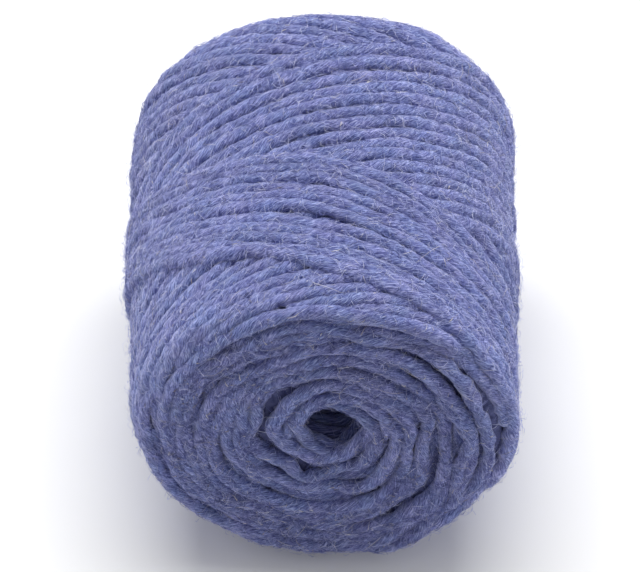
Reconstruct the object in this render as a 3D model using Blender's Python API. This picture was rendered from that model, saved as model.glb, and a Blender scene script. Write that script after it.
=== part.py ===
"""A coreless, cross-wound cop of dyed two-ply jute twine, lying on its side.

The winding axis lies along Y, the end with the better view of the hole at -Y, and the package rests on a
small flat along its underside. The surface is laid out in rows, one along each ridge and one along each
valley of the winding, closed round the axis and tilted as the real turns are: the turns near -Y lean one
way, those near +Y the other, and they fan apart on the +X side and meet on the -X side.
Lengths are in millimetres up to the last step, which turns them to metres.
"""
import math

import bpy
import numpy as np

METRES_PER_MM = 0.001

# The package
RADIUS = 37.8
LENGTH = 80.5
BARREL_BULGE = 0.35      # how much slimmer the side is near the ends
BARREL_TAPER = 0.3       # how much thicker the far end is than the middle
END_DOME = 0.8           # how far the middle of an end stands out past its rim
NEAR_CORNER = 7.5        # reach of the rounded rim at -Y
FAR_CORNER = 6.5         # reach of the rounded rim at +Y
CORNER_POWER = 0.75      # under 1, a rim is squarer than a quarter circle
HOLE_RADIUS = 4.3        # left by the mandrel
HOLE_LIP = 2.2           # rounding at the hole's mouth
FLAT_DEPTH = 0.9         # how much the package is flattened where it rests

# Lean of the two ends along Y, from side to side, towards both sides, and from bottom to top
NEAR_LEAN = (-2.2, 0.3, 2.0)
FAR_LEAN = (1.5, 1.4, 0.6)

# The winding
SIDE_PITCH = 3.0         # from turn to turn on the side
END_PITCH = 3.9          # from turn to turn on the ends
SIDE_ROWS = 26           # half pitches from mid-length to the rim, on either side
END_ROWS = 15            # half pitches from the rim to the hole's mouth
LIP_ROWS = 2             # rows round the hole's mouth
COLUMNS = 36             # round the axis
SIDE_GROOVE = 0.9        # depth from ridge to valley on the side
END_GROOVE = 1.1         # depth from ridge to valley on the ends

# Where a row runs, by its place along the surface from mid-length, and how far it swings to +Y at +X
# place, swing
SWING_TABLE = (
    (-62.0, 0.0),
    (-46.0, -8.0),
    (-30.0, -11.0),
    (-15.0, -10.5),
    (15.0, 10.5),
    (30.0, 11.0),
    (46.0, 5.0),
    (62.0, 0.0),
)

# Bands of turns that lie over the rest: from, to, rise. Between and beyond them the lower turns show.
CROSSING_BANDS = (
    (-29.0, -4.5, 0.9),
    (6.0, 28.5, 1.1),
)
LOWER_LEVEL = -0.8       # of the turns under the bands, from the package's mean surface

# The turn at a crossing band's edge that stands proud, with the shadow under it
EDGE_TURN_PLACE = -28.5
EDGE_TURN_RISE = 0.4
EDGE_TURN_WIDTH = 1.6

# Finish
DYED_JUTE = (0.195, 0.215, 0.434, 1.0)
JUTE_ROUGHNESS = 0.9

PROFILE_STEPS = 240


def clear_scene():
    for item in list(bpy.data.objects):
        bpy.data.objects.remove(item, do_unlink=True)


def rounded_rim(corner, half_length):
    """Radius and place along Y of a rim, from the end face to the side."""
    turn = np.linspace(0.0, math.pi / 2.0, PROFILE_STEPS)
    inward = corner * (1.0 - np.sin(turn) ** CORNER_POWER)
    from_end = corner * (1.0 - np.cos(turn) ** CORNER_POWER)
    along = half_length - END_DOME - from_end * (corner - END_DOME) / corner
    return RADIUS - inward, along


def half_profile(corner):
    """Radius and distance from mid-length, from the hole's mouth over the end and the rim to mid-length."""
    half_length = LENGTH / 2.0
    lip_turn = np.linspace(0.0, math.pi / 2.0, PROFILE_STEPS)
    lip_radius = HOLE_RADIUS + HOLE_LIP * (1.0 - np.cos(lip_turn))
    lip_along = half_length - HOLE_LIP * (1.0 - np.sin(lip_turn))
    face_radius = np.linspace(HOLE_RADIUS + HOLE_LIP, RADIUS - corner, PROFILE_STEPS)
    face_share = (face_radius - face_radius[0]) / (face_radius[-1] - face_radius[0])
    face_along = half_length - END_DOME * face_share ** 2
    rim_radius, rim_along = rounded_rim(corner, half_length)
    side_along = np.linspace(half_length - corner, 0.0, PROFILE_STEPS)
    side_radius = np.full(PROFILE_STEPS, RADIUS)
    radius = np.concatenate([lip_radius[:-1], face_radius[:-1], rim_radius[:-1], side_radius])
    along = np.concatenate([lip_along[:-1], face_along[:-1], rim_along[:-1], side_along])
    return radius, along


def package_profile():
    """The turned outline from mouth to mouth: place along it, radius, Y, and the outward normal's two parts."""
    near_radius, near_along = half_profile(NEAR_CORNER)
    far_radius, far_along = half_profile(FAR_CORNER)
    radius = np.concatenate([near_radius, far_radius[-2::-1]])
    along = np.concatenate([-near_along, far_along[-2::-1]])
    share = 2.0 * along / LENGTH
    barrel = BARREL_TAPER * share - BARREL_BULGE * share ** 2
    radius = radius + barrel * np.clip(radius / RADIUS, 0.0, 1.0)
    step_radius = np.gradient(radius)
    step_along = np.gradient(along)
    step = np.hypot(step_radius, step_along)
    place = np.concatenate([[0.0], np.cumsum(np.hypot(np.diff(radius), np.diff(along)))])
    place -= place[len(near_radius) - 1]
    return place, radius, along, step_along / step, -step_radius / step


def row_places(place):
    """Places of the rows along the outline, with +1 on a ridge, -1 in a valley and 0 at the mouths."""
    side = SIDE_PITCH / 2.0 * np.arange(-SIDE_ROWS, SIDE_ROWS + 1)
    ridge = np.where(np.arange(-SIDE_ROWS, SIDE_ROWS + 1) % 2 == 0, 1.0, -1.0)
    lip_length = HOLE_LIP * math.pi / 2.0
    end_ridge = np.where(np.arange(1, END_ROWS) % 2 == 0, 1.0, -1.0)
    near_end = np.linspace(side[0], place[0] + lip_length, END_ROWS)[1:]
    far_end = np.linspace(side[-1], place[-1] - lip_length, END_ROWS)[1:]
    near_lip = np.linspace(near_end[-1], place[0], LIP_ROWS + 1)[1:]
    far_lip = np.linspace(far_end[-1], place[-1], LIP_ROWS + 1)[1:]
    places = np.concatenate([near_lip[::-1], near_end[::-1], side, far_end, far_lip])
    lip_flat = np.zeros(LIP_ROWS)
    ridges = np.concatenate([lip_flat, end_ridge[::-1], ridge, end_ridge, lip_flat])
    return places, ridges


def band_level(places):
    """How far each row stands off the package's mean surface before its own ridge or valley."""
    end_share = np.clip((np.abs(places) - SIDE_PITCH * SIDE_ROWS / 2.0) / END_PITCH, 0.0, 1.0)
    level = LOWER_LEVEL * (1.0 - end_share)
    for start, stop, rise in CROSSING_BANDS:
        level = np.where((places > start) & (places < stop), LOWER_LEVEL + rise, level)
    level = level + EDGE_TURN_RISE * (np.abs(places - EDGE_TURN_PLACE) < EDGE_TURN_WIDTH)
    return level


def lean_end(x, y, z):
    """Y after the two ends have leaned: each end's face moves, and mid-length stays."""
    across = x / RADIUS
    height = z / RADIUS
    share = 2.0 * y / LENGTH
    for side, lean in ((-1.0, NEAR_LEAN), (1.0, FAR_LEAN)):
        weight = np.clip(side * share, 0.0, 1.0) ** 2
        y = y + weight * (lean[0] * across + lean[1] * across ** 2 + lean[2] * height)
    return y


def winding_points():
    """Grid of surface points, one row for each ridge and valley, in millimetres about the axis' middle."""
    place, radius, along, normal_out, normal_along = package_profile()
    places, ridges = row_places(place)
    turn = 2.0 * math.pi * np.arange(COLUMNS) / COLUMNS
    swing = np.interp(places, *np.array(SWING_TABLE).T)
    shifted = places[:, None] + swing[:, None] * np.sin(turn)[None, :]
    spread = 1.0 + np.gradient(swing, places)[:, None] * np.sin(turn)[None, :]
    on_end = np.abs(places) > SIDE_PITCH * SIDE_ROWS / 2.0
    groove = np.where(on_end, END_GROOVE, SIDE_GROOVE)[:, None] * np.clip(spread, 0.0, 1.1)
    height = band_level(places)[:, None] + ridges[:, None] * groove / 2.0
    height[ridges == 0.0] = 0.0
    out = np.interp(shifted, place, radius) + height * np.interp(shifted, place, normal_out)
    y = np.interp(shifted, place, along) + height * np.interp(shifted, place, normal_along)
    x = out * np.sin(turn)
    z = out * np.cos(turn)
    y = lean_end(x, y, z)
    z = np.maximum(z, FLAT_DEPTH - RADIUS)
    return np.stack([x, y, z], axis=-1)


def grid_faces(rows, columns):
    """Quads round the axis and from row to row, the last row joined to the first through the hole."""
    faces = []
    for row in range(rows):
        next_row = (row + 1) % rows
        for column in range(columns):
            next_column = (column + 1) % columns
            faces.append((
                row * columns + column,
                row * columns + next_column,
                next_row * columns + next_column,
                next_row * columns + column,
            ))
    return faces


def jute_material():
    material = bpy.data.materials.new("dyed_jute_twine")
    material.use_nodes = True
    shader = material.node_tree.nodes["Principled BSDF"]
    shader.inputs["Base Color"].default_value = DYED_JUTE
    shader.inputs["Roughness"].default_value = JUTE_ROUGHNESS
    shader.inputs["Metallic"].default_value = 0.0
    material.diffuse_color = DYED_JUTE
    return material


def wound_twine():
    """The whole package as one closed body, stood on its flat with its box centred on the origin."""
    points = winding_points()
    rows, columns = points.shape[:2]
    flat = points.reshape(-1, 3)
    middle = (flat.min(axis=0) + flat.max(axis=0)) / 2.0
    flat = flat - np.array([middle[0], middle[1], flat[:, 2].min()])
    mesh = bpy.data.meshes.new("wound_twine")
    mesh.from_pydata((flat * METRES_PER_MM).tolist(), [], grid_faces(rows, columns))
    mesh.materials.append(jute_material())
    mesh.shade_smooth()
    mesh.validate()
    mesh.update()
    item = bpy.data.objects.new("wound_twine", mesh)
    bpy.context.scene.collection.objects.link(item)
    return item


clear_scene()
wound_twine()
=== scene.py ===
"""Looks of a cross-wound cop of dyed jute twine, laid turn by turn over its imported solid.

Lengths are in millimetres about the middle of the winding axis, which lies along Y, up to the point where a
mesh is made. A point of the package is given by its turn, the angle round the axis from the top towards +X,
its place, the length along the turned outline from mid-length, negative towards the near end, and its
height off the package's mean surface. The relief, the floor, the lights and the camera are in metres.
"""
import math

import bpy
import numpy as np
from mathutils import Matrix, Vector
from mathutils.kdtree import KDTree


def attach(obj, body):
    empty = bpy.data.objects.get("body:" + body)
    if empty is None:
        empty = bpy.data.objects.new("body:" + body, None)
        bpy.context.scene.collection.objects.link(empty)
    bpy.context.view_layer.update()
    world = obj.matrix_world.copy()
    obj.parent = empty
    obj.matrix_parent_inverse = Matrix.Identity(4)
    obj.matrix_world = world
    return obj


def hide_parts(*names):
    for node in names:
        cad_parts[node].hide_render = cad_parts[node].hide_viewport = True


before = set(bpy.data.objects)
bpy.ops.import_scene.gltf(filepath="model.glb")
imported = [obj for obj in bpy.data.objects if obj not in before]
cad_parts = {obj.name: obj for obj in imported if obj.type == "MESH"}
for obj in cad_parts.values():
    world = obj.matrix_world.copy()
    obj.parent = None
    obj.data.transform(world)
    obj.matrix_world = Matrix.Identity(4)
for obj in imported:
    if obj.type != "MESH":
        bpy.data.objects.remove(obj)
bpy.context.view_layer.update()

METRES_PER_MM = 0.001
FULL_TURN = 2.0 * math.pi
NODE = "wound_twine"

# The package, as its solid has it
RADIUS = 37.8
LENGTH = 80.5
BARREL_BULGE = 0.35  # how much slimmer the side is near the ends
BARREL_TAPER = 0.3  # how much thicker the far end is than the middle
END_DOME = 0.8  # how far the middle of an end stands out past its rim
NEAR_CORNER = 7.5  # reach of the rounded rim at -Y
FAR_CORNER = 6.5  # reach of the rounded rim at +Y
CORNER_POWER = 0.75  # under 1, a rim is squarer than a quarter circle
HOLE_RADIUS = 4.3
HOLE_LIP = 2.2  # rounding at the hole's mouth
FLAT_DEPTH = 0.9  # how much the package is flattened where it rests
NEAR_LEAN = (-2.2, 0.3, 2.0)
FAR_LEAN = (1.5, 1.4, 0.6)
PROFILE_STEPS = 240
FLOOR = FLAT_DEPTH - RADIUS
FLOOR_SOFTNESS = 0.8  # height over which the underside is pressed flat

# The near end's hole, which lies a little right of the axis and above it
HOLE_DEPTH = 22.0
HOLE_SHIFT = (2.3, 2.2)
HOLE_SHIFT_REACH = 25.0  # radius at which the shift has died away
END_FACE_PLACE = 40.0  # beyond this place lie the rim and the end

# The twine
TWINE_RADIUS = 1.48
TWINE_UNEVENNESS = 0.11
THICKNESS_LIMITS = (0.8, 1.22)
PLY_PITCH = 9.4  # length in which the two plies go once round each other
PLY_GROOVE = 0.12  # depth of the groove between them, as a share of the radius
PLY_SHARPNESS = 3  # power that narrows the groove
PLY_WANDER = 0.7  # how far the twist runs ahead or falls behind, in radians
GROOVE_SPREAD = 0.4
GROOVE_LIMITS = (0.3, 1.8)
LINT = 0.05  # roughness of the surface, as a share of the radius
FIBRE_LEAN = 0.55  # how far the fibres lean, against the plies' own lean
SECTION_SIDES = 11
SECTION_CROWDING = 0.35  # how much closer the sides lie on the outward half
SECTION_WIDTH = 1.04  # of a section sideways, against its height
STEP = 0.95
PROBE = 0.5  # rise by which a turn's outward direction is found

# The laying
PITCH = 3.0
END_PITCH = 3.9
RISE = 1.25  # of a turn's crest over the crest that it crosses
FOOT = 1.1  # how near a crest must be to lift the turn above
WANDER = 0.3
SPACING_JITTER = 0.3
BED_JITTER = 0.2
LOWER_BED = -0.65  # of turns in the layer below, where they show
COVERED_BED = -2.4  # of the same turns under the crossing bands
COVER_REACH = (1.0, 5.0)  # distances inside a band's edges between which they sink
SUNK_BED = -6.0  # of a turn that has gone under and is left out from there
SOFT_CREST = 0.35  # height above which stacked turns are pressed together
CREST_ROOM = 0.6  # how much higher than that the highest can stand
FAR_SHOULDER = (27.0, 36.0)  # places between which the far end's turns come to lie lower
FAR_SHOULDER_SINK = 0.5
DRAPE_REACH = 2.0  # length to either side over which a turn keeps a crest's height
DRAPE_BLUR = 2.6  # length over which it then eases down
PATH_SMOOTHING = 9.0  # in degrees round the axis
LOOP_SAMPLES = 720
LOOP_DEGREES = np.arange(LOOP_SAMPLES) * 360.0 / LOOP_SAMPLES - 180.0
DIVE_DEPTH = 3.0  # of a turn's open end, under its neighbours
DIVE_LENGTH = 12.0
BURIED_DEPTH = 1.0
SHOWN_BEYOND = 3.0  # length that is kept past the point where a turn goes under

# The swirls on the ends. An arm's progress is counted in rounds from the hole's lip.
ARM_PROGRESS = (-0.55, -0.2, 0.0)  # where an arm starts inside the hole, reaches its mouth, and leaves it
ARM_DEPTH = 14.0  # of its start inside the hole
ARM_SAMPLES = 900
ARM_START = 0.35  # angle at which the first arm leaves the hole
ARM_EASE = 0.5  # progress by which an arm wanders fully
LIP_EASE = 0.35  # progress over which it comes up out of the hole
LIP_START = 0.3  # share of that already done at the lip
SWIRL_SWAY = 0.5
SWIRL_STAGGER = 2.1  # angle between the sways of two arms
SWIRL_WANDER = 0.7
SWIRL_UNEVENNESS = 0.65
HOLE_SINK = 2.1  # how much deeper than its bed an arm lies inside the hole
STRAY_SAMPLES = 200
STRAY_WANDER = 0.4
STRAY_BED = -0.2
STRAY_UNEVENNESS = 0.25
STRAY_THICKNESS = 0.95

# The turns on the hole's wall
HOLE_BED = -2.9
HOLE_TURN_COUNT = 5
HOLE_TURN_SAMPLES = 120
HOLE_TURN_START = 1.0  # depth of the first turn below the mouth
HOLE_TURN_PITCH = 3.2
HOLE_TURN_ANGLE = 0.7

# Order of laying, the lowest first: the layer below starts at 0
HOLE_ORDER = 10.0
STRAY_ORDER = 40.0
FAR_BAND_ORDER = 50.0
NEAR_BAND_ORDER = 80.0
ORDER_STEP = 0.01  # from turn to turn in the layer below
ARM_ORDER_STEP = 0.1  # from arm to arm of a swirl

# Waves, in whole numbers along one turn, that make up its slow noise
WANDER_WAVES = (1, 2, 3, 5, 7, 11)
DEPTH_WAVES = (1, 2, 4, 6)
SWIRL_WAVES = (3, 5, 9, 14, 19, 27)
SWIRL_DEPTH_WAVES = (2, 5, 8, 13, 21)
STRAY_WAVES = (1, 2, 3)
STRAY_DEPTH_WAVES = (1, 2)
THICKNESS_WAVES = (4, 9, 13, 21, 30, 44, 60)
TWIST_WAVES = (5, 11, 17, 23)
GROOVE_WAVES = (3, 8, 15, 27)

# The form under the laid turns
CORE_DEPTH = 2.3
CORE_HOLE_DEPTH = 4.6  # of the same form inside the hole
CORE_HOLE_PLACES = (66.0, 73.0)  # places between which its depth changes
CORE_SIDE_PLACE = 40.0
CORE_SIDE_ROWS = 30
CORE_END_ROWS = 60
CORE_COLUMNS = 72
CORE_END_GAP = 0.1
CORE_PATTERN_SCALE = 2.0

# The loose fibre ends
FIBRE_FOOT = 1.7  # how near a crest must be to carry a fibre
FIBRE_SAG = 0.35  # how far a fibre sinks between crests, for each square millimetre from one
FIBRE_BEARING = -0.5  # against the run of its turn, in radians
FIBRE_ROOT_SPREAD = 0.55  # how far from a turn's crest its roots lie, as a share of the twine's radius
FIBRE_LENGTH_SPREAD = 0.45
FIBRE_LIFT = 3.0  # a fibre has its full loft after one part in this many of its length
FIBRE_TAPER = 0.6  # thickness at the tip, as a share of that at the root
FIBRE_THICKNESS_SPREAD = (0.65, 1.3)
FIBRE_REFERENCE = (0.3, 0.2, 0.93)  # direction from which a sliver's three sides are set out
FIBRE_SIDES = 3
FIBRE_FLOOR_GAP = 0.05
ROOT_DEPTH = 0.12

# Where the crossing bands run: turn in degrees, place of the upper edge, place of the lower edge
NEAR_BAND = (
    (-180.0, 6.0, -18.0),
    (-150.0, 14.0, -9.0),
    (-120.0, 16.0, -1.5),
    (-85.0, 9.5, -3.5),
    (-60.0, 5.0, -12.0),
    (-40.0, 1.5, -18.9),
    (-20.0, 0.2, -23.4),
    (0.0, -0.8, -28.2),
    (20.0, -5.0, -31.5),
    (40.0, -9.6, -34.3),
    (60.0, -12.5, -35.7),
    (90.0, -14.5, -36.3),
    (120.0, -11.0, -34.0),
    (150.0, -4.0, -26.0),
)
FAR_BAND = (
    (-180.0, 16.0, -18.0),
    (-150.0, 8.0, -28.0),
    (-120.0, 3.0, -33.0),
    (-85.0, 5.0, -33.0),
    (-72.0, 10.5, -30.5),
    (-60.0, 14.3, -28.0),
    (-40.0, 18.6, -24.0),
    (-20.0, 22.2, -20.0),
    (0.0, 25.5, -16.0),
    (20.0, 29.0, -12.0),
    (40.0, 32.0, -8.0),
    (60.0, 35.0, -4.0),
    (85.0, 36.0, 1.0),
    (120.0, 33.0, 0.0),
    (150.0, 26.0, -8.0),
)
NEAR_BAND_COUNT = 11
FAR_BAND_COUNT = 15
# share of the band's width from its upper edge, and the bed or the thickness there
NEAR_BAND_BED = ((0.0, 0.0), (0.3, 0.25), (0.85, 0.3), (1.0, 1.1))
NEAR_BAND_THICKNESS = ((0.0, 0.96), (0.9, 0.98), (1.0, 1.12))
# share of the band's width from its lower edge, bed
FAR_BAND_BED = ((0.0, -0.3), (0.5, 0.1), (1.0, 0.35))
# Where the near band's turns part: share of its width, extra gap
BAND_PARTING = (0.6, 0.035)
# The far band's bed under the near band, and the distances from its upper edge over which it rises from there
PASSED_UNDER_BED = -1.1
PASSING_REACH = (-3.0, 0.5)
HIDDEN_REACH = 2.0  # the far band's turns are left out from this far inside the near band's lower edge

# How a turn in the layer below swings round the axis: turn in degrees, shift towards +Y
RISING_SWING = (
    (-180.0, 0.0),
    (-110.0, -20.5),
    (-80.0, -16.0),
    (-60.0, -12.0),
    (0.0, 0.0),
    (60.0, 12.0),
    (80.0, 16.0),
    (110.0, 20.5),
)
FALLING_SWING = (
    (-180.0, 0.0),
    (-100.0, 15.0),
    (-60.0, 12.0),
    (0.0, 0.0),
    (60.0, -12.0),
    (100.0, -15.0),
)
LOWER_SPLIT = -4.0  # place where the layer below changes from its near piece to its far one
# near piece, far piece, swing, first place, last place, places where the swing starts and stops to fade,
# share of it that is left
LOWER_FAMILIES = (
    ("lower_turns_near", "lower_turns_far", RISING_SWING, -46.5, 46.5, (26.0, 48.0), 0.6),
    ("falling_turns", "falling_turns", FALLING_SWING, 5.0, 50.0, (30.0, 50.0), 0.4),
)
# end of the piece's name, arms, radius at which they go under the rim, pitch, bed, order, way round
SWIRLS = (
    ("_lower_turns", 2, 30.0, PITCH, -1.1, 20.0, -1.0),
    ("_turns", 3, 35.0, END_PITCH, -0.1, 30.0, 1.0),
)
# Turns that cross an end's swirl at a slant: middle and span in degrees, radius at the start and the end
STRAY_ARCS = (
    (-75.0, 125.0, 12.5, 21.0),
    (35.0, 100.0, 15.0, 23.0),
    (150.0, 110.0, 18.0, 26.0),
    (-25.0, 90.0, 24.0, 31.0),
    (95.0, 100.0, 24.5, 31.5),
    (-140.0, 100.0, 25.0, 32.0),
    (180.0, 80.0, 28.0, 33.5),
)

# Pieces of twine that loose fibres grow from, by area
FIBRE_AREAS = {
    "near side": ("lower_turns_near", "near_band_turns"),
    "far side": ("lower_turns_far", "far_band_turns", "falling_turns"),
    "far shoulder": ("falling_turns",),
    "near end": ("near_end_lower_turns", "near_end_turns"),
    "far end": ("far_end_lower_turns", "far_end_turns"),
}
# Loose fibres of one kind: material, then its colours as share and sRGB
FIBRE_KINDS = {
    "dyed": ("loose_dyed_jute_fibre", (
        (0.0, "#52589a"), (0.4, "#767cb8"), (0.8, "#989ed3"), (0.95, "#bbc0ea"), (1.0, "#d6d9f4"),
    )),
    "pale": ("thinly_dyed_jute_fibre", (
        (0.0, "#8f96d2"), (0.35, "#adb3e4"), (0.75, "#ccd0f2"), (0.96, "#e6e8fa"), (1.0, "#cac2c1"),
    )),
    "undyed": ("undyed_jute_fibre", (
        (0.0, "#8f878c"), (0.35, "#bdb7bd"), (0.7, "#d6d1d0"), (1.0, "#ecebee"),
    )),
}
# piece, area, kind, count, knots, mean length, spread of bearing, loft, curl, thickness
FUZZ = (
    ("near_side_fuzz", "near side", "dyed", 10500, 3, 2.2, 1.0, 0.06, 0.8, 0.055),
    ("far_side_fuzz", "far side", "dyed", 12000, 3, 2.2, 1.0, 0.06, 0.8, 0.055),
    ("near_side_halo", "near side", "pale", 4800, 3, 2.5, 1.3, 0.6, 0.9, 0.04),
    ("far_side_halo", "far side", "pale", 5400, 3, 2.5, 1.3, 0.6, 0.9, 0.04),
    ("near_side_curls", "near side", "pale", 3400, 5, 2.8, 1.5, 0.24, 1.6, 0.04),
    ("far_side_curls", "far side", "pale", 3900, 5, 2.8, 1.5, 0.24, 1.6, 0.04),
    ("far_shoulder_felt", "far shoulder", "dyed", 3000, 4, 2.6, 1.4, 0.15, 1.4, 0.055),
    ("near_end_fuzz", "near end", "dyed", 5600, 4, 2.2, 1.1, 0.1, 1.1, 0.048),
    ("near_end_curls", "near end", "dyed", 2300, 5, 3.0, 1.6, 0.3, 2.2, 0.048),
    ("near_end_pale_curls", "near end", "pale", 1500, 5, 2.8, 1.6, 0.3, 2.4, 0.043),
    ("far_end_fuzz", "far end", "dyed", 6000, 3, 2.2, 1.2, 0.12, 1.0, 0.052),
    ("far_end_curls", "far end", "pale", 1200, 5, 3.0, 1.6, 0.3, 2.2, 0.044),
    ("near_end_specks", "near end", "undyed", 300, 4, 1.3, 0.9, 0.08, 0.8, 0.085),
    ("undyed_specks", "everywhere", "undyed", 300, 4, 1.3, 0.8, 0.03, 0.6, 0.1),
    ("undyed_hairs", "everywhere", "undyed", 220, 7, 4.5, 1.6, 0.25, 1.5, 0.045),
)

# Patterns on the twine: repeats for each millimetre (along, around), offset, detail, roughness, distortion
STRANDS = ((0.35, 3.0, 1.0), (0.0, 0.0, 0.0), 3.0, 0.6, 0.3)
HAIRS = ((1.0, 6.5, 1.0), (7.0, 3.0, 0.0), 2.0, 0.6, 0.0)
BLOTCHES = ((0.12, 0.3, 1.0), (0.0, 0.0, 0.0), 2.0, 0.5, 0.0)
FLECKS = ((0.5, 1.9, 1.0), (40.0, 9.0, 0.0), 3.0, 0.6, 0.0)
TURN_OFFSET = 311.0  # shift of the pattern from one turn to another
STRAND_SHARE = 0.45  # of the fibres' height and colour, beside the hairs'
HAIR_SHARE = 0.55
DARKEST_TONE = 0.7
BLOTCH_TONE = 0.5  # how much lighter than that the brightest blotch is
TURN_TONE = 0.16  # and the brightest turn
# Patterns through the package: repeats for each metre
DYE_SCALE = 190.0
LUMP_SCALE = 1100.0
INNER_FIBRE_SCALE = 900.0
# share, sRGB
# fibre streaks, with painted shade in the relief's hollows and painted highlight on its tops
STREAK_SHADE_HIGHLIGHT_COLOURS = ((0.36, "#444b7a"), (0.5, "#7e85b9"), (0.65, "#bec4e6"))
DYE_TINTS = ((0.36, "#e8f2ff"), (0.64, "#f6f2fe"))
# the inner winding, darker than the twine's own colour: painted shade deep in the gaps
INNER_SHADED_COLOURS = ((0.35, "#464a72"), (0.65, "#666b97"))
UNDYED_FLECK = "#b9b5b8"
SHEEN_TINT = "#d2d5f2"
PAPER_WHITE = "#f4f4f4"

# The studio
FLOOR_SIZE = 4.0
FLOOR_DROP = 0.0002  # keeps the floor clear of the package's flat
ROOM_LIGHT = 0.38
# name, X, Y, Z, tilt, turn about Z, width, height, watts
SOFTBOXES = (
    ("overhead_softbox", 0.0, 0.25, 0.95, -14.0, 0.0, 0.9, 0.6, 9.1),
    ("left_softbox", -0.8, 0.12, 0.12, 86.0, -90.0, 0.9, 0.2, 1.9),
    ("right_softbox", 0.8, 0.12, 0.12, 86.0, 90.0, 0.9, 0.2, 2.4),
    ("back_softbox", 0.0, 0.85, 0.12, 86.0, 180.0, 0.9, 0.2, 4.5),
)

# The photo's view, fitted to the package's outline
VIEW_ELEVATION = 48.7
VIEW_DISTANCE = 1.2
AIM_LEFT = 0.00041  # how far left of the axis and below it the camera aims
AIM_DOWN = 0.00031
SENSOR_WIDTH = 36.0
LENS = 344.5
CLIP_END = 10.0

random = np.random.default_rng(7)


def rounded_rim(corner, half_length):
    """Radius and place along Y of a rim, from the end face to the side."""
    turn = np.linspace(0.0, math.pi / 2.0, PROFILE_STEPS)
    inward = corner * (1.0 - np.sin(turn) ** CORNER_POWER)
    from_end = corner * (1.0 - np.cos(turn) ** CORNER_POWER)
    along = half_length - END_DOME - from_end * (corner - END_DOME) / corner
    return RADIUS - inward, along


def half_profile(corner):
    """Radius and distance from mid-length, from inside the hole over the end and the rim to mid-length."""
    half_length = LENGTH / 2.0
    hole_along = np.linspace(half_length - HOLE_LIP - HOLE_DEPTH, half_length - HOLE_LIP, PROFILE_STEPS)
    hole_radius = np.full(PROFILE_STEPS, HOLE_RADIUS)
    lip_turn = np.linspace(0.0, math.pi / 2.0, PROFILE_STEPS)
    lip_radius = HOLE_RADIUS + HOLE_LIP * (1.0 - np.cos(lip_turn))
    lip_along = half_length - HOLE_LIP * (1.0 - np.sin(lip_turn))
    face_radius = np.linspace(HOLE_RADIUS + HOLE_LIP, RADIUS - corner, PROFILE_STEPS)
    face_share = (face_radius - face_radius[0]) / (face_radius[-1] - face_radius[0])
    face_along = half_length - END_DOME * face_share ** 2
    rim_radius, rim_along = rounded_rim(corner, half_length)
    side_along = np.linspace(half_length - corner, 0.0, PROFILE_STEPS)
    side_radius = np.full(PROFILE_STEPS, RADIUS)
    radius = [part[:-1] for part in (hole_radius, lip_radius, face_radius, rim_radius)]
    along = [part[:-1] for part in (hole_along, lip_along, face_along, rim_along)]
    return np.concatenate(radius + [side_radius]), np.concatenate(along + [side_along])


def package_profile():
    """The turned outline from hole to hole: place, radius, Y, and the outward normal's two parts."""
    near_radius, near_along = half_profile(NEAR_CORNER)
    far_radius, far_along = half_profile(FAR_CORNER)
    radius = np.concatenate([near_radius, far_radius[-2::-1]])
    along = np.concatenate([-near_along, far_along[-2::-1]])
    share = 2.0 * along / LENGTH
    barrel = BARREL_TAPER * share - BARREL_BULGE * share ** 2
    radius = radius + barrel * np.clip(radius / RADIUS, 0.0, 1.0)
    step_radius = np.gradient(radius)
    step_along = np.gradient(along)
    step = np.hypot(step_radius, step_along)
    place = np.concatenate([[0.0], np.cumsum(np.hypot(np.diff(radius), np.diff(along)))])
    place -= place[len(near_radius) - 1]
    return place, radius, along, step_along / step, -step_radius / step


PLACE, PROFILE_RADIUS, PROFILE_ALONG, NORMAL_OUT, NORMAL_ALONG = package_profile()


def lean_end(x, y, z):
    """Y after the two ends have leaned: each end's face moves, and mid-length stays."""
    across = x / RADIUS
    height = z / RADIUS
    share = 2.0 * y / LENGTH
    for side, lean in ((-1.0, NEAR_LEAN), (1.0, FAR_LEAN)):
        weight = np.clip(side * share, 0.0, 1.0) ** 2
        y = y + weight * (lean[0] * across + lean[1] * across ** 2 + lean[2] * height)
    return y


def eased(share):
    """A share from 0 to 1 that starts and ends gently."""
    return share * share * (3.0 - 2.0 * share)


def package_point(place, turn, height):
    """Points of the package, an array of X, Y and Z rows."""
    radius = np.interp(place, PLACE, PROFILE_RADIUS)
    out = radius + height * np.interp(place, PLACE, NORMAL_OUT)
    y = np.interp(place, PLACE, PROFILE_ALONG) + height * np.interp(place, PLACE, NORMAL_ALONG)
    inward = np.clip((HOLE_SHIFT_REACH - radius) / (HOLE_SHIFT_REACH - HOLE_RADIUS), 0.0, 1.0)
    shift = eased(inward) * (place < -END_FACE_PLACE)
    x = out * np.sin(turn) + HOLE_SHIFT[0] * shift
    z = out * np.cos(turn) + HOLE_SHIFT[1] * shift
    return np.stack([x, lean_end(x, y, z), z], axis=-1)


def rest_on_floor(points):
    """Presses what would reach below the floor flat, evenly enough that nothing folds over."""
    soft_top = FLOOR + FLOOR_SOFTNESS
    z = points[..., 2]
    pressed = FLOOR + FLOOR_SOFTNESS * np.exp(np.minimum(z - soft_top, 0.0) / FLOOR_SOFTNESS)
    points[..., 2] = np.where(z < soft_top, pressed, z)
    return points


def to_world(points):
    """Metres in the frame of the solid, which stands on its flat."""
    return (points - np.array([0.0, 0.0, FLOOR])) * METRES_PER_MM


def hole_places(side):
    """Places of an end's hole mouth and of the outer edge of its lip, both counted from mid-length."""
    mouth = (PLACE[-1] if side > 0.0 else -PLACE[0]) - HOLE_DEPTH
    return mouth, mouth - HOLE_LIP * math.pi / 2.0


def from_table(table, value):
    """What a table of pairs gives for a value."""
    return np.interp(value, *np.array(table).T)


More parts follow.
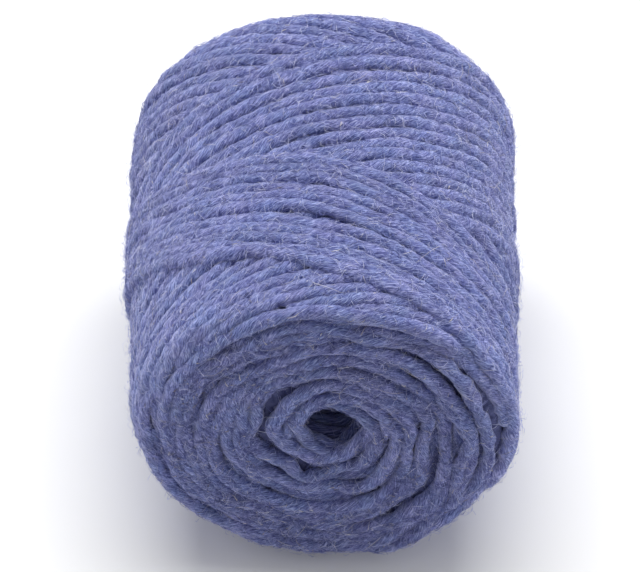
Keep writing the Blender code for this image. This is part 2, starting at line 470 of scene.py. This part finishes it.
def smooth_loop(degrees, places):
    """A path closed round the axis through a table's places, rounded where they turn."""
    raw = np.interp(LOOP_DEGREES, degrees, places, period=360.0)
    steps = np.minimum(np.arange(LOOP_SAMPLES), LOOP_SAMPLES - np.arange(LOOP_SAMPLES))
    kernel = np.exp(-0.5 * (steps * 360.0 / LOOP_SAMPLES / PATH_SMOOTHING) ** 2)
    return np.real(np.fft.ifft(np.fft.fft(raw) * np.fft.fft(kernel / kernel.sum())))


def band_edges(table):
    """Places of a band's upper and lower edge round the axis."""
    degrees, upper, lower = np.array(table).T
    return smooth_loop(degrees, upper), smooth_loop(degrees, lower)


NEAR_UPPER, NEAR_LOWER = band_edges(NEAR_BAND)
FAR_UPPER, FAR_LOWER = band_edges(FAR_BAND)


def slow_noise(length, closed_waves):
    """Smooth noise along a turn, of about unit size, made of a few waves that close on themselves."""
    share = np.arange(length) / length
    noise = np.zeros(length)
    for waves in closed_waves:
        noise += random.normal() * np.cos(FULL_TURN * (waves * share + random.random()))
    return noise / math.sqrt(len(closed_waves) / 2.0)


class Turn:
    """One length of twine: its path, the bed it lies in, and, once laid, the height of its crest."""

    def __init__(self, piece, turn, place, bed, order, closed=True, thickness=1.0, stray=False):
        self.piece = piece
        self.closed = closed
        self.stray = stray
        self.order = order
        self.thickness = thickness
        bed = np.broadcast_to(bed, turn.shape)
        if closed:
            turn = np.append(turn, turn[0] + FULL_TURN)
            place = np.append(place, place[0])
            bed = np.append(bed, bed[0])
        points = package_point(place, turn, 0.0)
        length = np.concatenate([[0.0], np.cumsum(np.linalg.norm(np.diff(points, axis=0), axis=1))])
        steps = max(4, int(round(length[-1] / STEP)))
        even = np.linspace(0.0, length[-1], steps + 1)
        if closed:
            even = even[:-1]
        self.turn = np.interp(even, length, turn)
        self.place = np.interp(even, length, place)
        self.bed = np.interp(even, length, bed)
        self.along = even
        self.length = length[-1]
        self.base = package_point(self.place, self.turn, 0.0)
        self.crest = self.bed
        self.buried = np.zeros(len(even), dtype=bool)


def ring(piece, path, bed, order, thickness=1.0):
    """A turn closed round the axis, that wanders a little off its path."""
    gap = SPACING_JITTER * random.uniform(-1.0, 1.0)
    wander = gap + WANDER * slow_noise(LOOP_SAMPLES, WANDER_WAVES)
    depth = BED_JITTER * slow_noise(LOOP_SAMPLES, DEPTH_WAVES)
    return Turn(piece, np.radians(LOOP_DEGREES), path + wander, bed + depth, order, thickness=thickness)


def lower_bed(path):
    """Deep under the crossing bands, and shallow where no band covers the path."""
    inside_near = np.minimum(path - NEAR_LOWER, NEAR_UPPER - path)
    inside_far = np.minimum(path - np.maximum(FAR_LOWER, NEAR_LOWER), FAR_UPPER - path)
    bed = np.interp(np.maximum(inside_near, inside_far), COVER_REACH, (LOWER_BED, COVERED_BED))
    return bed - np.interp(path, FAR_SHOULDER, (0.0, FAR_SHOULDER_SINK))


def lower_turns():
    """The turns under the crossing bands: one family leaning each way."""
    turns = []
    for family, (near_piece, far_piece, swing_table, first, last, fading, left) in enumerate(LOWER_FAMILIES):
        swing = smooth_loop(*np.array(swing_table).T)
        for index, start in enumerate(np.arange(first, last + PITCH / 2.0, PITCH)):
            path = start + np.interp(abs(start), fading, (1.0, left)) * swing
            piece = near_piece if start < LOWER_SPLIT else far_piece
            turns.append(ring(piece, path, lower_bed(path), family + ORDER_STEP * index))
    return turns


def crossing_turns():
    """The far band and, over it, the near band with its proud lowest turn."""
    turns = []
    for index in range(FAR_BAND_COUNT):
        share = index / (FAR_BAND_COUNT - 1)
        path = FAR_LOWER + share * (FAR_UPPER - FAR_LOWER)
        bed = np.interp(path - NEAR_UPPER, PASSING_REACH, (PASSED_UNDER_BED, from_table(FAR_BAND_BED, share)))
        bed = np.where(path < NEAR_LOWER + HIDDEN_REACH, SUNK_BED, bed)
        turns.append(ring("far_band_turns", path, bed, FAR_BAND_ORDER + index))
    for index in range(NEAR_BAND_COUNT):
        share = index / (NEAR_BAND_COUNT - 1)
        share += BAND_PARTING[1] * np.sign(share - BAND_PARTING[0]) * np.sin(math.pi * share)
        path = NEAR_UPPER + share * (NEAR_LOWER - NEAR_UPPER)
        bed = from_table(NEAR_BAND_BED, share)
        thickness = from_table(NEAR_BAND_THICKNESS, share)
        turns.append(ring("near_band_turns", path, bed, NEAR_BAND_ORDER + index, thickness))
    return turns


def end_turns(piece, side, arms, last_radius, pitch, bed, order, winding):
    """Arms of one swirl on an end, each out of the hole, round the face and under the turns at the rim."""
    turns = []
    mouth, lip = hole_places(side)
    revolutions = (last_radius - HOLE_RADIUS - HOLE_LIP) / (pitch * arms)
    for arm in range(arms):
        progress = np.linspace(ARM_PROGRESS[0], revolutions, ARM_SAMPLES)
        in_hole = np.interp(progress, ARM_PROGRESS, (mouth + ARM_DEPTH, mouth, lip))
        place = np.where(progress < 0.0, in_hole, lip - pitch * arms * progress)
        ease = np.clip(progress / ARM_EASE, 0.0, 1.0)
        turn = winding * FULL_TURN * (progress + arm / arms) + ARM_START
        sway = SWIRL_SWAY * np.sin(turn + SWIRL_STAGGER * arm)
        sway = sway + SWIRL_WANDER * slow_noise(ARM_SAMPLES, SWIRL_WAVES)
        place = place + ease * sway
        out_of_hole = np.clip(progress / LIP_EASE + LIP_START, 0.0, 1.0)
        depth = SWIRL_UNEVENNESS * slow_noise(ARM_SAMPLES, SWIRL_DEPTH_WAVES)
        arm_bed = bed + depth * ease - HOLE_SINK * (1.0 - out_of_hole)
        turns.append(Turn(piece, turn, side * place, arm_bed, order + ARM_ORDER_STEP * arm, closed=False))
    return turns


def stray_turns(piece, side):
    """Single turns that lie across the swirl, both ends under it."""
    turns = []
    _, lip = hole_places(side)
    share = np.linspace(-0.5, 0.5, STRAY_SAMPLES)
    for index, (middle, span, start_radius, stop_radius) in enumerate(STRAY_ARCS):
        radius = (start_radius + stop_radius) / 2.0 + (stop_radius - start_radius) * share
        radius = radius + STRAY_WANDER * slow_noise(STRAY_SAMPLES, STRAY_WAVES)
        place = side * (lip + HOLE_RADIUS + HOLE_LIP - radius)
        turn = np.radians(middle + span * share)
        bed = STRAY_BED + STRAY_UNEVENNESS * slow_noise(STRAY_SAMPLES, STRAY_DEPTH_WAVES)
        order = STRAY_ORDER + index
        thickness = STRAY_THICKNESS
        turns.append(Turn(piece, turn, place, bed, order, closed=False, thickness=thickness, stray=True))
    return turns


def hole_turns(side):
    """Turns on the hole's wall, seen into its dark."""
    turns = []
    mouth, _ = hole_places(side)
    turn = np.linspace(0.0, FULL_TURN, HOLE_TURN_SAMPLES)
    for index in range(HOLE_TURN_COUNT):
        depth = mouth + HOLE_TURN_START + HOLE_TURN_PITCH * index + HOLE_TURN_PITCH * turn / FULL_TURN
        order = HOLE_ORDER + index
        turns.append(Turn("hole_turns", turn + HOLE_TURN_ANGLE, side * depth, HOLE_BED, order, closed=False))
    return turns


def drape(values, closed):
    """Carries a turn's height over each crest that it meets: widened by a maximum, then smoothed."""
    reach = max(1, round(DRAPE_REACH / STEP))
    blur = max(1, round(DRAPE_BLUR / STEP))
    pad = reach + 3 * blur
    padded = np.pad(values, pad, mode="wrap" if closed else "edge")
    wide = np.max([np.roll(padded, shift) for shift in range(-reach, reach + 1)], axis=0)
    kernel = np.exp(-0.5 * (np.arange(-3 * blur, 3 * blur + 1) / blur) ** 2)
    smooth = np.convolve(wide, kernel / kernel.sum(), mode="same")
    return smooth[pad:-pad]


def press(height):
    """Turns stacked on others are pressed into them, the more the higher they would stand."""
    over = np.maximum(height - SOFT_CREST, 0.0)
    return np.minimum(height, SOFT_CREST) + CREST_ROOM * (1.0 - np.exp(-over / CREST_ROOM))


def crest_tree(points):
    tree = KDTree(len(points))
    for index, point in enumerate(points):
        tree.insert(point, index)
    tree.balance()
    return tree


def carried_height(item, tree, crests):
    """Where a turn lies: in its bed, or on the crests that it crosses if they are higher."""
    support = item.bed.copy()
    for index, point in enumerate(item.base):
        if item.bed[index] < SUNK_BED / 2.0:
            continue
        for _, found, distance in tree.find_range(point, FOOT):
            sag = TWINE_RADIUS - math.sqrt(TWINE_RADIUS ** 2 - distance ** 2)
            support[index] = max(support[index], crests[found] - sag + RISE)
    return support


def dive_ends(item):
    """Takes a turn's open ends down under its neighbours: both of a stray turn, the outer one of an arm."""
    from_end = item.length - item.along
    if item.stray:
        from_end = np.minimum(from_end, item.along)
    item.crest = item.crest - DIVE_DEPTH * eased(np.clip(1.0 - from_end / DIVE_LENGTH, 0.0, 1.0))


def lay(turns):
    """Lays the turns in their order, each on the crests of those before it, and notes what gets buried."""
    turns.sort(key=lambda item: item.order)
    points = []
    crests = []
    for item in turns:
        support = carried_height(item, crest_tree(points), crests)
        item.crest = press(drape(support, item.closed))
        if not item.closed:
            dive_ends(item)
        points.extend(item.base.tolist())
        crests.extend(item.crest.tolist())
    tree = crest_tree(points)
    for item in turns:
        for index, point in enumerate(item.base):
            over = max(crests[found] for _, found, _ in tree.find_range(point, FOOT))
            covered = over > item.crest[index] + BURIED_DEPTH
            item.buried[index] = covered or item.crest[index] < SUNK_BED / 2.0


def shown_spans(item):
    """Runs of a turn's samples that show, each with a little more of it at both ends."""
    beyond = round(SHOWN_BEYOND / STEP)
    padded = np.pad(~item.buried, beyond, mode="wrap" if item.closed else "edge")
    near_shown = [np.roll(padded, shift) for shift in range(-beyond, beyond + 1)]
    shown = np.any(near_shown, axis=0)[beyond:-beyond]
    index = np.arange(len(shown))
    if shown.all():
        return [index]
    if item.closed:
        index = np.roll(index, -int(np.argmin(shown)))
    breaks = np.flatnonzero(np.diff(shown[index].astype(int))) + 1
    return [run for run in np.split(index, breaks) if shown[run[0]] and len(run) > 3]


def unit(vectors):
    return vectors / np.linalg.norm(vectors, axis=-1, keepdims=True)


def add_turn_frame(item):
    """Centre line, tangent, outward and sideways directions, radius and twist along a laid turn."""
    count = len(item.turn)
    uneven = 1.0 + TWINE_UNEVENNESS * slow_noise(count, THICKNESS_WAVES)
    item.radius = TWINE_RADIUS * item.thickness * np.clip(uneven, *THICKNESS_LIMITS)
    height = item.crest - item.radius
    item.centre = package_point(item.place, item.turn, height)
    above = package_point(item.place, item.turn, height + PROBE)
    if item.closed:
        item.tangent = unit(np.roll(item.centre, -1, axis=0) - np.roll(item.centre, 1, axis=0))
    else:
        item.tangent = unit(np.gradient(item.centre, axis=0))
    out = above - item.centre
    item.out = unit(out - item.tangent * np.sum(out * item.tangent, axis=1, keepdims=True))
    item.aside = np.cross(item.tangent, item.out)
    item.pitch = item.length / max(1, round(item.length / PLY_PITCH))
    wander = PLY_WANDER * slow_noise(count, TWIST_WAVES)
    item.twist = random.random() * FULL_TURN - FULL_TURN * item.along / item.pitch + wander
    groove = 1.0 + GROOVE_SPREAD * slow_noise(count, GROOVE_WAVES)
    item.groove = PLY_GROOVE * np.clip(groove, *GROOVE_LIMITS)


def tube(item, run):
    """Vertices, quads, their corners' coordinates and end caps of one run, two plies twisted together."""
    closed = item.closed and len(run) == len(item.turn)
    along = item.along[run] + np.where(run < run[0], item.length, 0.0)
    even = -math.pi + FULL_TURN * (np.arange(SECTION_SIDES) + 0.5) / SECTION_SIDES
    angle = even - SECTION_CROWDING * np.sin(even)
    lobe = np.abs(np.sin(angle[None, :] - item.twist[run][:, None])) ** PLY_SHARPNESS
    reach = item.radius[run][:, None] * (1.0 - item.groove[run][:, None] * lobe)
    reach = reach * (1.0 + LINT * random.normal(size=reach.shape))
    points = (
        item.centre[run][:, None, :]
        + (reach * np.cos(angle))[..., None] * item.out[run][:, None, :]
        + (reach * np.sin(angle))[..., None] * item.aside[run][:, None, :] * SECTION_WIDTH
    )
    points = rest_on_floor(points)
    rows = np.arange(len(run) if closed else len(run) - 1)
    next_rows = (rows + 1) % len(run)
    columns = np.arange(SECTION_SIDES)
    next_columns = (columns + 1) % SECTION_SIDES
    corner_rows = (rows, rows, next_rows, next_rows)
    corner_columns = (columns, next_columns, next_columns, columns)
    quads = np.stack([
        row[:, None] * SECTION_SIDES + column[None, :] for row, column in zip(corner_rows, corner_columns)
    ], axis=-1)
    along = np.append(along, along[0] + item.length)
    angle = np.append(angle, angle[0] + FULL_TURN)
    lean = FIBRE_LEAN * FULL_TURN * TWINE_RADIUS / item.pitch
    corners = []
    for row, column in ((0, 0), (0, 1), (1, 1), (1, 0)):
        u = along[rows + row][:, None] + np.zeros(SECTION_SIDES)
        v = TWINE_RADIUS * angle[columns + column][None, :] + lean * u
        corners.append(np.stack([u, v], axis=-1))
    coordinates = np.stack(corners, axis=2)
    caps = []
    if not closed:
        last = (len(run) - 1) * SECTION_SIDES
        caps = [columns[::-1].tolist(), (last + columns).tolist()]
    return points.reshape(-1, 3), quads.reshape(-1, 4), coordinates.reshape(-1, 2), caps


def add_mesh(name, points, faces, coordinates, seeds, material):
    """A mesh object at the origin, from millimetre points, with the twine's own coordinates as its UV map."""
    mesh = bpy.data.meshes.new(name)
    mesh.from_pydata(to_world(points).tolist(), [], faces)
    layer = mesh.uv_layers.new(name="along_twine")
    layer.data.foreach_set("uv", coordinates.astype(np.float32).ravel())
    seed = mesh.attributes.new("turn_seed", "FLOAT", "POINT")
    seed.data.foreach_set("value", seeds.astype(np.float32))
    mesh.materials.append(material)
    mesh.shade_smooth()
    item = bpy.data.objects.new(name, mesh)
    bpy.context.scene.collection.objects.link(item)
    return item


def join_turns(name, turns, material):
    """The shown runs of several turns as one mesh, each turn with its own seed."""
    points, faces, coordinates, seeds = [], [], [], []
    offset = 0
    for item in turns:
        turn_seed = random.random()
        for run in shown_spans(item):
            run_points, quads, run_coordinates, caps = tube(item, run)
            points.append(run_points)
            faces.extend((quads + offset).tolist())
            coordinates.append(run_coordinates)
            for cap in caps:
                faces.append([corner + offset for corner in cap])
                coordinates.append(np.zeros((len(cap), 2)))
            seeds.append(np.full(len(run_points), turn_seed))
            offset += len(run_points)
    points, coordinates, seeds = (np.concatenate(parts) for parts in (points, coordinates, seeds))
    return add_mesh(name, points, faces, coordinates, seeds, material)


def winding_core(material):
    """The inner turns as one closed form, under all that is laid."""
    places = np.concatenate([
        np.linspace(PLACE[0] + CORE_END_GAP, -CORE_SIDE_PLACE, CORE_END_ROWS),
        np.linspace(-CORE_SIDE_PLACE, CORE_SIDE_PLACE, CORE_SIDE_ROWS)[1:-1],
        np.linspace(CORE_SIDE_PLACE, PLACE[-1] - CORE_END_GAP, CORE_END_ROWS),
    ])
    turns = FULL_TURN * np.arange(CORE_COLUMNS) / CORE_COLUMNS
    depth = np.interp(np.abs(places), CORE_HOLE_PLACES, (CORE_DEPTH, CORE_HOLE_DEPTH))
    grid = package_point(places[:, None], turns[None, :], -depth[:, None])
    grid = rest_on_floor(grid)
    rows = np.arange(len(places))[:, None] * CORE_COLUMNS
    next_rows = np.roll(rows, -1, axis=0)
    columns = np.arange(CORE_COLUMNS)[None, :]
    next_columns = np.roll(columns, -1, axis=1)
    corners = (rows + columns, rows + next_columns, next_rows + next_columns, next_rows + columns)
    quads = np.stack(corners, axis=-1).reshape(-1, 4)
    points = grid.reshape(-1, 3)
    coordinates = points[quads.ravel(), :2] * CORE_PATTERN_SCALE
    seeds = np.full(len(points), 0.5)
    return add_mesh("inner_winding", points, quads.tolist(), coordinates, seeds, material)


class LaidSurface:
    """The crests of all laid turns, for the height of the surface anywhere on the package."""

    def __init__(self, turns):
        base = np.concatenate([item.base for item in turns])
        above = np.concatenate([package_point(item.place, item.turn, 1.0) for item in turns])
        self.crest = np.concatenate([item.crest for item in turns]).tolist()
        self.out = [Vector(out) for out in unit(above - base)]
        self.tree = crest_tree(base)

    def rest(self, point, clearance):
        """A point near the package, moved to the clearance above its surface."""
        hits = self.tree.find_range(point, FIBRE_FOOT) or [self.tree.find(point)]
        height = max(self.crest[index] - FIBRE_SAG * distance ** 2 for _, index, distance in hits)
        base, index, _ = min(hits, key=lambda hit: hit[2])
        out = self.out[index]
        return point + out * (height + clearance - out.dot(point - base))


def fibre_lines(surface, turns, count, knots, length, spread, loft, curl):
    """Centre lines of loose fibre ends that leave the turns and lie along the package, loose by the loft."""
    base = np.concatenate([item.base[~item.buried] for item in turns])
    tangent = np.concatenate([item.tangent[~item.buried] for item in turns])
    aside = np.concatenate([item.aside[~item.buried] for item in turns])
    pick = random.integers(len(base), size=count)
    tangent = tangent[pick]
    aside = aside[pick]
    share = np.linspace(0.0, 1.0, knots)
    off_crest = random.uniform(-FIBRE_ROOT_SPREAD, FIBRE_ROOT_SPREAD, size=(count, 1))
    start = base[pick] + aside * off_crest * TWINE_RADIUS
    bearing = FIBRE_BEARING + spread * random.normal(size=(count, 1))
    bearing = bearing + math.pi * random.integers(2, size=(count, 1))
    bearing = bearing + curl * random.normal(size=(count, 1)) * share
    reach = length * np.exp(FIBRE_LENGTH_SPREAD * random.normal(size=(count, 1, 1)))
    step = np.cos(bearing)[..., None] * tangent[:, None] + np.sin(bearing)[..., None] * aside[:, None]
    travel = np.cumsum(0.5 * (step[:, 1:] + step[:, :-1]), axis=1)
    travel = np.concatenate([np.zeros((count, 1, 3)), travel], axis=1)
    path = start[:, None] + travel * reach / (knots - 1)
    lift = loft * np.abs(random.normal(size=(count, 1))) * np.minimum(1.0, FIBRE_LIFT * share)
    clearance = lift - ROOT_DEPTH * (share == 0.0)
    lines = [surface.rest(Vector(point), rise) for point, rise in zip(path.reshape(-1, 3), clearance.ravel())]
    return np.array(lines).reshape(count, knots, 3)


def sliver_faces(corners_each):
    """Triangles of one three-sided sliver: a tip, rings of three corners, and a tip."""
    faces = []
    for corner in range(FIBRE_SIDES):
        other = (corner + 1) % FIBRE_SIDES
        faces.append((0, 1 + other, 1 + corner))
        for low in range(1, corners_each - FIBRE_SIDES - 1, FIBRE_SIDES):
            high = low + FIBRE_SIDES
            faces.append((low + corner, low + other, high + other))
            faces.append((low + corner, high + other, high + corner))
        last = corners_each - FIBRE_SIDES - 1
        faces.append((last + corner, last + other, corners_each - 1))
    return np.array(faces)


def fibre_mesh(name, lines, thickness, material):
    """Three-sided slivers along centre lines, pointed at both ends."""
    count, knots = lines.shape[:2]
    tangent = unit(np.gradient(lines, axis=1))
    first = unit(np.cross(tangent, np.array(FIBRE_REFERENCE)))
    second = np.cross(tangent, first)
    corners = FULL_TURN * np.arange(FIBRE_SIDES) / FIBRE_SIDES
    thick = thickness * random.uniform(*FIBRE_THICKNESS_SPREAD, size=(count, 1, 1, 1))
    taper = np.linspace(1.0, FIBRE_TAPER, knots - 2)[None, :, None, None]
    around = (
        np.cos(corners)[None, None, :, None] * first[:, 1:-1, None, :]
        + np.sin(corners)[None, None, :, None] * second[:, 1:-1, None, :]
    )
    rings = lines[:, 1:-1, None, :] + around * thick * taper
    points = np.concatenate([lines[:, :1], rings.reshape(count, -1, 3), lines[:, -1:]], axis=1)
    points[..., 2] = np.maximum(points[..., 2], FLOOR + FIBRE_FLOOR_GAP)
    corners_each = points.shape[1]
    first_corners = corners_each * np.arange(count)[:, None, None]
    faces = (sliver_faces(corners_each)[None] + first_corners).reshape(-1, 3)
    seeds = np.repeat(random.random(count), corners_each)
    coordinates = np.zeros((faces.size, 2))
    return add_mesh(name, points.reshape(-1, 3), faces.tolist(), coordinates, seeds, material)


def linear(hex_colour):
    """Linear red, green, blue and alpha of an sRGB hex colour."""
    values = [int(hex_colour[index:index + 2], 16) / 255.0 for index in (1, 3, 5)]
    return [v / 12.92 if v <= 0.04045 else ((v + 0.055) / 1.055) ** 2.4 for v in values] + [1.0]


def add_node(tree, kind, settings=None, values=None, links=None):
    """Adds a node with its settings, its sockets' values, and its links from other nodes' outputs."""
    node = tree.nodes.new("ShaderNode" + kind)
    for name, value in (settings or {}).items():
        setattr(node, name, value)
    for name, value in (values or {}).items():
        node.inputs[name].default_value = value
    for name, (source, output) in (links or {}).items():
        tree.links.new(source.outputs[output], node.inputs[name])
    return node


def add_ramp(tree, stops, share):
    """A colour ramp over another node's output, with stops of share and sRGB hex colour."""
    node = add_node(tree, "ValToRGB", links={"Fac": share})
    ramp = node.color_ramp
    while len(ramp.elements) < len(stops):
        ramp.elements.new(0.5)
    for element, (position, colour) in zip(ramp.elements, stops):
        element.position = position
        element.color = linear(colour)
    return node


def empty_material(name):
    material = bpy.data.materials.new(name)
    material.use_nodes = True
    material.node_tree.nodes.clear()
    return material


def add_pattern(tree, place, scale, offset, detail, roughness, distortion):
    """Noise drawn out along the twine."""
    stretched = add_node(tree, "Mapping", None,
                         {"Scale": scale, "Location": offset}, {"Vector": (place, "Vector")})
    return add_node(tree, "TexNoise", {"noise_dimensions": "2D"},
                    {"Scale": 1.0, "Detail": detail, "Roughness": roughness, "Distortion": distortion},
                    {"Vector": (stretched, "Vector")})


def add_surface(tree, links, roughness, sheen=None):
    """The material's surface, with hardly any gloss."""
    values = {"Roughness": roughness, "Specular IOR Level": 0.1, **(sheen or {})}
    shader = add_node(tree, "BsdfPrincipled", None, values, links)
    add_node(tree, "OutputMaterial", links={"Surface": (shader, "BSDF")})


def twine_material():
    """Jute bast fibre, dyed in the piece, spun and two-plied: matt and streaked along its fibres, the streaks
    darkest in the hollows of the fibres' relief and palest on its tops, which is painted shade and painted
    highlight, each turn a little lighter or darker, with pale flecks where the dye didn't take."""
    material = empty_material("dyed_two_ply_jute")
    tree = material.node_tree
    place = add_node(tree, "UVMap", {"uv_map": "along_twine"})
    seed = add_node(tree, "Attribute", {"attribute_name": "turn_seed"})
    spread = add_node(tree, "VectorMath", {"operation": "SCALE"},
                      {"Scale": TURN_OFFSET}, {0: (seed, "Vector")})
    shifted = add_node(tree, "VectorMath", {"operation": "ADD"}, None,
                       {0: (place, "UV"), 1: (spread, "Vector")})
    # Fibres: broad strands and fine hairs, both drawn out along the twine
    strand = add_pattern(tree, shifted, *STRANDS)
    hair = add_pattern(tree, shifted, *HAIRS)
    hair_part = add_node(tree, "Math", {"operation": "MULTIPLY"}, {1: HAIR_SHARE}, {0: (hair, "Fac")})
    fibre = add_node(tree, "Math", {"operation": "MULTIPLY_ADD"}, {1: STRAND_SHARE},
                     {0: (strand, "Fac"), 2: (hair_part, "Value")})
    # The streaks' colour follows the fibres' relief: painted shade in its hollows, painted highlight on its
    # tops
    streaks_shade_highlight = add_ramp(tree, STREAK_SHADE_HIGHLIGHT_COLOURS, (fibre, "Value"))
    # Tone: blotches along a turn, and one turn lighter than another
    blotch = add_pattern(tree, shifted, *BLOTCHES)
    blotch_tone = add_node(tree, "Math", {"operation": "MULTIPLY_ADD"},
                           {1: BLOTCH_TONE, 2: DARKEST_TONE}, {0: (blotch, "Fac")})
    tone = add_node(tree, "Math", {"operation": "MULTIPLY_ADD"}, {1: TURN_TONE},
                    {0: (seed, "Fac"), 2: (blotch_tone, "Value")})
    toned = add_node(tree, "VectorMath", {"operation": "SCALE"}, None,
                     {0: (streaks_shade_highlight, "Color"), "Scale": (tone, "Value")})
    # Dye: patches that took it a little bluer or more violet
    package_place = add_node(tree, "TexCoord")
    dye = add_node(tree, "TexNoise", None,
                   {"Scale": DYE_SCALE, "Detail": 3.0}, {"Vector": (package_place, "Object")})
    tint = add_ramp(tree, DYE_TINTS, (dye, "Fac"))
    dyed = add_node(tree, "VectorMath", {"operation": "MULTIPLY"}, None,
                    {0: (toned, "Vector"), 1: (tint, "Color")})
    # Flecks that stayed undyed
    fleck = add_pattern(tree, shifted, *FLECKS)
    share = add_node(tree, "MapRange", None,
                     {"From Min": 0.71, "From Max": 0.8, "To Min": 0.0, "To Max": 0.7},
                     {"Value": (fleck, "Fac")})
    colour = add_node(tree, "Mix", {"data_type": "RGBA"}, None,
                      {"Factor": (share, "Result"), "A": (dyed, "Vector")})
    colour.inputs["B"].default_value = linear(UNDYED_FLECK)
    # Relief: small lumps of tangled fibre, then the fibres themselves
    lumps = add_node(tree, "TexNoise", None, {"Scale": LUMP_SCALE, "Detail": 2.0, "Roughness": 0.6},
                     {"Vector": (package_place, "Object")})
    lumpy = add_node(tree, "Bump", None, {"Strength": 0.5, "Distance": 0.0004}, {"Height": (lumps, "Fac")})
    bump = add_node(tree, "Bump", None, {"Strength": 0.8, "Distance": 0.0004},
                    {"Height": (fibre, "Value"), "Normal": (lumpy, "Normal")})
    add_surface(tree, {"Base Color": (colour, "Result"), "Normal": (bump, "Normal")}, roughness=0.9,
                sheen={"Sheen Weight": 1.0, "Sheen Roughness": 0.3, "Sheen Tint": linear(SHEEN_TINT)})
    return material


def fibre_material(name, stops):
    """Single jute fibres, each of one colour drawn from the stops: dyed, thinly dyed or undyed."""
    material = empty_material(name)
    tree = material.node_tree
    seed = add_node(tree, "Attribute", {"attribute_name": "turn_seed"})
    colours = add_ramp(tree, stops, (seed, "Fac"))
    add_surface(tree, {"Base Color": (colours, "Color")}, roughness=0.8)
    return material


def shaded_inner_material():
    """The same dyed jute deep in the winding, seen only through gaps: one flat tone with a coarse streak,
    darker than the twine's own colour, which is painted shade deep in the winding.
    """
    material = empty_material("dyed_jute_painted_shade_inside_winding")
    tree = material.node_tree
    place = add_node(tree, "TexCoord")
    fibre = add_node(tree, "TexNoise", None,
                     {"Scale": INNER_FIBRE_SCALE, "Detail": 3.0}, {"Vector": (place, "Object")})
    # Darker than the twine: painted shade deep in the winding's gaps
    colours = add_ramp(tree, INNER_SHADED_COLOURS, (fibre, "Fac"))
    add_surface(tree, {"Base Color": (colours, "Color")}, roughness=0.95)
    return material


def pale_floor():
    """A matt white paper sweep, drawn as a plain floor."""
    bpy.ops.object.select_all(action="DESELECT")
    bpy.ops.mesh.primitive_plane_add(size=FLOOR_SIZE, location=(0.0, 0.0, -FLOOR_DROP))
    floor = bpy.context.object
    floor.name = "pale_floor"
    paper = bpy.data.materials.new("white_paper_sweep")
    paper.use_nodes = True
    shader = paper.node_tree.nodes["Principled BSDF"]
    shader.inputs["Base Color"].default_value = linear(PAPER_WHITE)
    shader.inputs["Roughness"].default_value = 0.9
    floor.data.materials.append(paper)


def studio_light():
    """An even white room, a softbox overhead, and three low ones that light the rims."""
    world = bpy.data.worlds.new("soft_white")
    bpy.context.scene.world = world
    world.use_nodes = True
    background = world.node_tree.nodes["Background"]
    background.inputs["Color"].default_value = (1.0, 1.0, 1.0, 1.0)
    background.inputs["Strength"].default_value = ROOM_LIGHT
    for name, x, y, z, tilt, turn, width, height, watts in SOFTBOXES:
        light = bpy.data.lights.new(name, "AREA")
        light.shape = "RECTANGLE"
        light.size = width
        light.size_y = height
        light.energy = watts
        lamp = bpy.data.objects.new(name, light)
        lamp.location = (x, y, z)
        lamp.rotation_euler = (math.radians(tilt), 0.0, math.radians(turn))
        bpy.context.scene.collection.objects.link(lamp)


def photo_camera():
    """Looks down at the near end, as the photo does."""
    elevation = math.radians(VIEW_ELEVATION)
    back = np.array([0.0, -math.cos(elevation), math.sin(elevation)])
    up = np.array([0.0, math.sin(elevation), math.cos(elevation)])
    aim = np.array([-AIM_LEFT, 0.0, -FLOOR * METRES_PER_MM]) - up * AIM_DOWN
    data = bpy.data.cameras.new("photo_view")
    data.sensor_width = SENSOR_WIDTH
    data.lens = LENS
    data.clip_end = CLIP_END
    camera = bpy.data.objects.new("photo_view", data)
    camera.location = (aim + back * VIEW_DISTANCE).tolist()
    camera.rotation_euler = (math.pi / 2.0 - elevation, 0.0, 0.0)
    bpy.context.scene.collection.objects.link(camera)
    bpy.context.scene.camera = camera


def all_turns():
    """Every turn of the package: the layer below, the bands, and each end's swirls, strays and hole."""
    turns = lower_turns() + crossing_turns()
    for side, end in ((-1.0, "near_end"), (1.0, "far_end")):
        for name_ending, *swirl in SWIRLS:
            turns += end_turns(end + name_ending, side, *swirl)
        turns += stray_turns(end + "_turns", side)
        turns += hole_turns(side)
    return turns


def fuzz_pieces(turns):
    """All loose fibres, by area and kind, lying on the laid surface."""
    areas = {"everywhere": turns}
    for area, names in FIBRE_AREAS.items():
        areas[area] = [item for item in turns if item.piece in names]
    kinds = {kind: fibre_material(name, stops) for kind, (name, stops) in FIBRE_KINDS.items()}
    surface = LaidSurface(turns)
    fuzz = []
    for name, area, kind, *growth, thickness in FUZZ:
        lines = fibre_lines(surface, areas[area], *growth)
        fuzz.append(fibre_mesh(name, lines, thickness, kinds[kind]))
    return fuzz


photo_camera()
pale_floor()
studio_light()

turns = all_turns()
lay(turns)
for item in turns:
    add_turn_frame(item)

twine = twine_material()
pieces = [winding_core(shaded_inner_material())]
for name in dict.fromkeys(item.piece for item in turns):
    pieces.append(join_turns(name, [item for item in turns if item.piece == name], twine))
pieces += fuzz_pieces(turns)

for piece in pieces:
    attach(piece, "root")
    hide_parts(NODE)

bpy.context.scene.view_settings.view_transform = "Standard"
